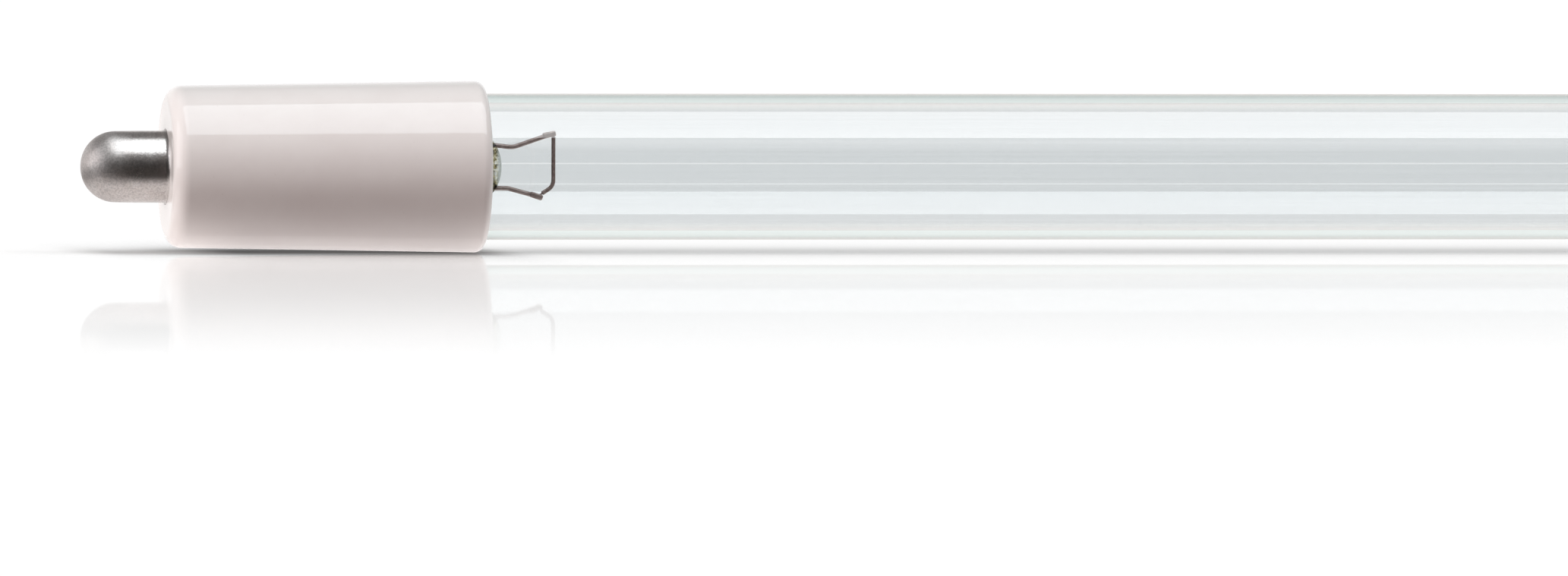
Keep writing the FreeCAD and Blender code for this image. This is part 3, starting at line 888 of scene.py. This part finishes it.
# %% Nickel plate
nickel, tree = new_material("satin_nickel_plate")
place = add(tree, "ShaderNodeTexCoord")
spot = add(tree, "ShaderNodeSeparateXYZ", {0: place.outputs["Object"]})
out = add(tree, "ShaderNodeMath", {0: spot.outputs["X"]}, operation="ABSOLUTE")
dome = add(tree, "ShaderNodeMapRange", {
    "Value": out.outputs[0],
    "From Min": (PIN_TIP - 6.0) * MM, "From Max": (PIN_TIP - 2.4) * MM,
}, interpolation_type="SMOOTHSTEP")
ring_space = add(tree, "ShaderNodeMapping", {
    "Vector": place.outputs["Object"], "Scale": (per_mm(0.12), per_mm(9), per_mm(9)),
})
rings = add(tree, "ShaderNodeTexNoise", {
    "Vector": ring_space.outputs[0], "Scale": 1, "Detail": 3, "Roughness": 0.7,
})
grain = add(tree, "ShaderNodeTexNoise", {
    "Vector": place.outputs["Object"], "Scale": per_mm(0.22), "Detail": 3, "Roughness": 0.75,
})
frosted = add(tree, "ShaderNodeMapRange", {
    "Value": dome.outputs[0], "To Min": 0.75, "To Max": 1,
})
relief = add(tree, "ShaderNodeMix", {
    "Factor": frosted.outputs[0], 2: rings.outputs[0], 3: grain.outputs[0],
})
bump = add(tree, "ShaderNodeBump", {
    "Height": relief.outputs[0], "Strength": 0.26, "Distance": 0.04 * MM,
})
rough = add(tree, "ShaderNodeMapRange", {
    "Value": dome.outputs[0], "To Min": 0.21, "To Max": 0.42,
})
patches = add(tree, "ShaderNodeTexNoise", {
    "Vector": place.outputs["Object"], "Scale": per_mm(1.6), "Detail": 4, "Roughness": 0.65,
})
rougher = add(tree, "ShaderNodeMath", {
    0: patches.outputs[0], 1: 0.10, 2: rough.outputs[0],
}, operation="MULTIPLY_ADD")
plate = add(tree, "ShaderNodeValToRGB", {"Fac": patches.outputs[0]})
plate.color_ramp.elements[0].position, plate.color_ramp.elements[0].color = 0.3, colour("#C6BCB8")
plate.color_ramp.elements[1].position, plate.color_ramp.elements[1].color = 0.7, colour("#D8D0CD")
pepper = add(tree, "ShaderNodeMapRange", {
    "Value": grain.outputs[0], "From Min": 0.42, "From Max": 0.56, "To Min": 0.76, "To Max": 1,
})
# The plate colour is a little darker on the dome
dome_darkening = add(tree, "ShaderNodeMapRange", {
    "Value": dome.outputs[0], "To Min": 1.0, "To Max": 0.95,
})
shades = add(tree, "ShaderNodeMath", {
    0: pepper.outputs[0], 1: dome_darkening.outputs[0],
}, operation="MULTIPLY")
peppered = add(tree, "ShaderNodeMix", {
    "Factor": 1, 6: plate.outputs[0], 7: shades.outputs[0],
}, data_type="RGBA", blend_type="MULTIPLY")
plated = add(tree, "ShaderNodeBsdfPrincipled", {
    "Base Color": peppered.outputs[2], "Metallic": 1.0, "Roughness": rougher.outputs[0],
    "Normal": bump.outputs[0],
})
surface(tree, plated.outputs[0])
print("nickel ready")

# %% [markdown]
# ## Wires and coil
#
# The wires inside the glass are plain metals: nickelled iron leads that hot gas has turned
# brown, copper clad wire in the press, tinned copper below it, and a tungsten coil that
# wears a chalky skin of oxides. They are thin, so one recipe with a noise for tarnish and
# drawn streaks serves them all, with the colours, the shine and the relief of each metal.
# The solder in the pins and the mercury pellet are small and hidden, and use it too.

# %% Wire metals
def wire_metal(name, dark, pale, metallic, roughness, streak, relief_depth):
    """A drawn or coated metal, mottled from a dark to a pale colour"""
    material, tree = new_material(name)
    place = add(tree, "ShaderNodeTexCoord")
    stain = add(tree, "ShaderNodeTexNoise", {
        "Vector": place.outputs["Object"], "Scale": per_mm(streak),
        "Detail": 4, "Roughness": 0.7,
    })
    ramp = add(tree, "ShaderNodeValToRGB", {"Fac": stain.outputs[0]})
    ramp.color_ramp.elements[0].position = 0.35
    ramp.color_ramp.elements[0].color = colour(dark)
    ramp.color_ramp.elements[1].position = 0.65
    ramp.color_ramp.elements[1].color = colour(pale)
    uneven = add(tree, "ShaderNodeMapRange", {
        "Value": stain.outputs[0],
        "To Min": max(0.02, roughness - 0.12), "To Max": min(1, roughness + 0.12),
    })
    dents = add(tree, "ShaderNodeBump", {
        "Height": stain.outputs[0], "Strength": 0.5, "Distance": relief_depth * MM,
    })
    metal = add(tree, "ShaderNodeBsdfPrincipled", {
        "Base Color": ramp.outputs[0], "Metallic": metallic,
        "Roughness": uneven.outputs[0], "Normal": dents.outputs[0],
    })
    surface(tree, metal.outputs[0])
    print(name, "ready")
    return material


lead = wire_metal("heat_browned_nickel_iron", "#85706A", "#B5A39D", 0.6, 0.42, 0.5, 0.02)
dumet = wire_metal("copper_clad_seal_wire", "#8E4A3A", "#B0705A", 1.0, 0.35, 0.4, 0.01)
copper = wire_metal("tinned_copper", "#A08878", "#C8BDB2", 1.0, 0.35, 0.6, 0.01)
tungsten = wire_metal("oxide_coated_tungsten", "#7A655F", "#A3918B", 0.5, 0.48, 0.25, 0.01)
tin = wire_metal("soft_solder", "#8C8E90", "#B4B6B8", 1.0, 0.4, 0.9, 0.05)
quicksilver = wire_metal("liquid_mercury", "#C8CACC", "#DADCDE", 1.0, 0.14, 1.2, 0.001)

# %% [markdown]
# ## Basing cement
#
# The cement that holds the glass in the cap is a filled resin, baked hard. It is buff, matt
# and gritty, and is seen only past the cap's mouth.

# %% Basing cement
cement, tree = new_material("baked_basing_cement")
place = add(tree, "ShaderNodeTexCoord")
grit = add(tree, "ShaderNodeTexNoise", {
    "Vector": place.outputs["Object"], "Scale": per_mm(0.35), "Detail": 5, "Roughness": 0.7,
})
buff = add(tree, "ShaderNodeValToRGB", {"Fac": grit.outputs[0]})
buff.color_ramp.elements[0].position, buff.color_ramp.elements[0].color = 0.3, colour("#B9AC97")
buff.color_ramp.elements[1].position, buff.color_ramp.elements[1].color = 0.7, colour("#D6CCB9")
gritty = add(tree, "ShaderNodeBump", {
    "Height": grit.outputs[0], "Strength": 0.7, "Distance": 0.12 * MM,
})
baked = add(tree, "ShaderNodeBsdfPrincipled", {
    "Base Color": buff.outputs[0], "Roughness": 0.85, "Normal": gritty.outputs[0],
})
surface(tree, baked.outputs[0])
print("cement ready")

# %% [markdown]
# ## Who wears what
#
# The record names a slot for each solid, and each slot has its finish here.

# %% Finishes on the nodes
finishes = {
    "stem_glass": stem_glass,
    "glazed_ceramic": glaze,
    "pin_metal": nickel,
    "solder": tin,
    "cement": cement,
    "lead_metal": lead,
    "seal_copper": dumet,
    "copper_wire": copper,
    "coil_metal": tungsten,
    "mercury": quicksilver,
}
for name, node in sorted(nodes.items()):
    slot = node.material_slots[0].material.name
    finish = finishes.get(slot)
    if finish is not None:
        node.material_slots[0].material = finish
        print(name, "wears", finish.name)
    else:
        print(name, "has the slot", slot)

# %% [markdown]
# ## Finishes of the new pieces
#
# The dressed lamp has to fill the same box as the imported solids. The pins and coils built
# again here wear the nickel plate and the coated tungsten.

# %% Finishes of the new pieces
for pin in pins:
    pin.data.materials.append(nickel)
for coil in coils:
    coil.data.materials.append(tungsten)
